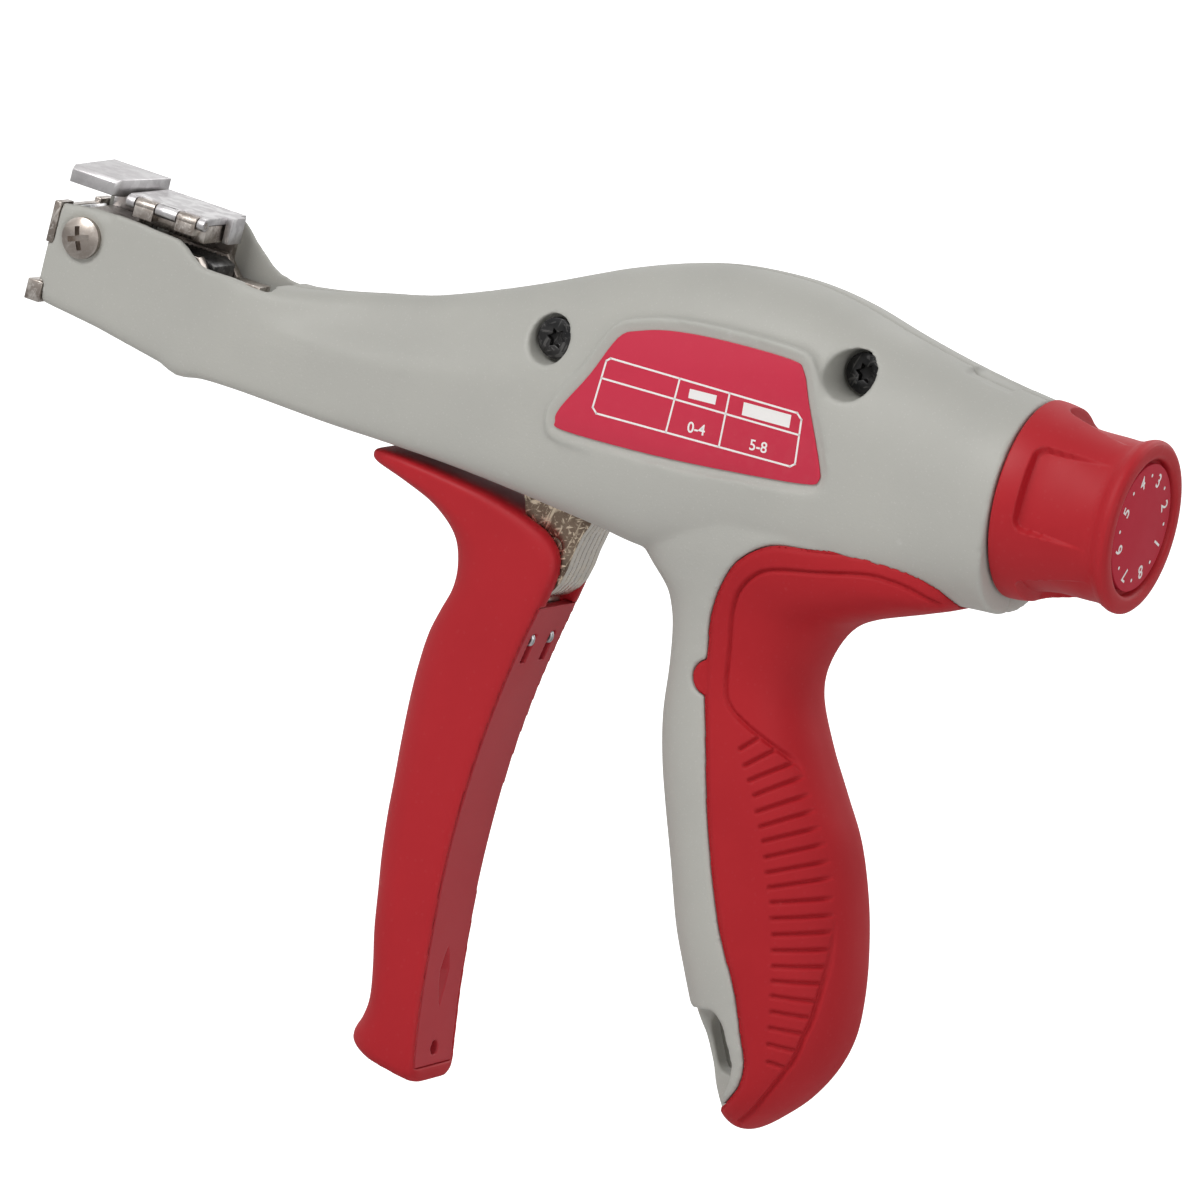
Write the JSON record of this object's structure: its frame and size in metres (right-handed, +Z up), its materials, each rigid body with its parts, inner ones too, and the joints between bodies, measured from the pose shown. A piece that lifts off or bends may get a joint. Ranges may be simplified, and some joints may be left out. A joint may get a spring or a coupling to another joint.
{
  "type": "cable tie tensioning tool",
  "caption": "Pistol-grip hand tool that pulls a cable tie tight through its nose, cuts off the tail at a set tension and has a dial knob to set it.",
  "frame": {"origin": "centre of the seat for the tie's head on the front face of the nose plate, on the draw line", "axes": "+X back along the draw line towards the knob, +Y to the tool's right as it is held, +Z up, handle and trigger pointing down"},
  "size_m": [0.22, 0.037, 0.1611],
  "materials": {
    "casing_grey": "fine speckled grey, slightly worn",
    "grip_rubber": "soft moulded red",
    "red_plastic": "moulded red, lightly grained",
    "label_film": "printed film",
    "worn_steel": "stamped, lightly worn",
    "zinc_cast": "satin plated casting",
    "black_steel": "black oxide",
    "blade_steel": "ground",
    "spring_wire": "bright drawn wire",
    "bearing_brass": "turned"
  },
  "bodies": {
    "casing": {"housing_left": "casing_grey", "housing_right": "casing_grey", "grip_cover": "grip_rubber", "label_plate": "label_film", "nose_plate": "worn_steel", "nose_block": "worn_steel", "nose_screw": "worn_steel", "nose_nut": "worn_steel", "head_cover": "zinc_cast", "jaw_frame": "worn_steel", "cover_hinge_pin": "worn_steel", "housing_screws": "black_steel", "pivot_sleeve": "worn_steel", "cutter_pivot_pin": "worn_steel", "rear_bushing": "bearing_brass", "return_spring": "spring_wire", "tension_spring": "spring_wire"},
    "cover": {"gripper_cover": "zinc_cast"},
    "trigger": {"trigger_shell": "red_plastic", "trigger_insert": "red_plastic", "trigger_clip": "spring_wire", "lever_plates": "worn_steel", "lever_rivets": "worn_steel"},
    "draw_train": {"drawbar": "worn_steel", "drawbar_pin": "worn_steel", "gripper_carriage": "worn_steel", "carriage_pin": "worn_steel", "pawl_pin": "worn_steel", "pawl_spring": "spring_wire"},
    "pawl": {"gripper_pawl": "black_steel"},
    "cutter": {"cutter_lever": "worn_steel", "cutter_link_pin": "worn_steel"},
    "blade": {"cutter_blade": "blade_steel"},
    "trip": {"trip_link": "worn_steel", "trip_link_pins": "worn_steel", "trip_yoke": "worn_steel"},
    "knob": {"tension_knob": "red_plastic", "dial_disc": "red_plastic", "knob_screw": "black_steel", "tension_shaft": "worn_steel", "retaining_ring": "spring_wire"},
    "nut": {"tension_nut": "bearing_brass"}
  },
  "joints": [
    {"name": "trigger_pull", "type": "hinge", "parent": "casing", "child": "trigger", "pos_m": [0.1038, 0, 0.01699], "axis": [0, -1, 0], "range_deg": [0, 18], "stiffness_Nm_per_rad": 0.8, "springref_deg": -20.05, "deforming": ["return_spring"]},
    {"name": "drawbar_slide", "type": "slide", "parent": "casing", "child": "draw_train", "axis": [1, 0, 0], "range_m": [0, 0.00665], "deforming": ["return_spring"]},
    {"name": "pawl_swing", "type": "hinge", "parent": "draw_train", "child": "pawl", "pos_m": [0.02962, 0, 0.00464], "axis": [0, -1, 0], "range_deg": [0, 6], "stiffness_Nm_per_rad": 0.02, "deforming": ["pawl_spring"]},
    {"name": "cover_lift", "type": "hinge", "parent": "casing", "child": "cover", "pos_m": [0.0215, -0.007, 0.0151], "axis": [1, 0, 0], "range_deg": [0, 60]},
    {"name": "cutter_swing", "type": "hinge", "parent": "casing", "child": "cutter", "pos_m": [0.01181, 0, -0.0012], "axis": [0, 1, 0], "range_deg": [0, 26.28]},
    {"name": "blade_lift", "type": "slide", "parent": "casing", "child": "blade", "axis": [0, 0, 1], "range_m": [0, 0.0043]},
    {"name": "trip_slide", "type": "slide", "parent": "casing", "child": "trip", "axis": [-1, 0, 0], "range_m": [0, 0.0019], "deforming": ["tension_spring"]},
    {"name": "knob_turn", "type": "hinge", "parent": "casing", "child": "knob", "pos_m": [0.1955, 0, 0.0156], "axis": [-0.9981, 0, -0.061], "range_deg": [-90, 225]},
    {"name": "nut_slide", "type": "slide", "parent": "casing", "child": "nut", "axis": [0.9981, 0, 0.061], "range_m": [-0.002, 0.005], "deforming": ["tension_spring"]}
  ],
  "couplings": [
    {"joint": "drawbar_slide", "follows": "trigger_pull", "m_per_rad": 0.021174},
    {"joint": "blade_lift", "follows": "trip_slide", "ratio": 2.2648},
    {"joint": "cutter_swing", "follows": "trip_slide", "rad_per_m": 241.58},
    {"joint": "knob_turn", "follows": "nut_slide", "rad_per_m": 785.4}
  ]
}
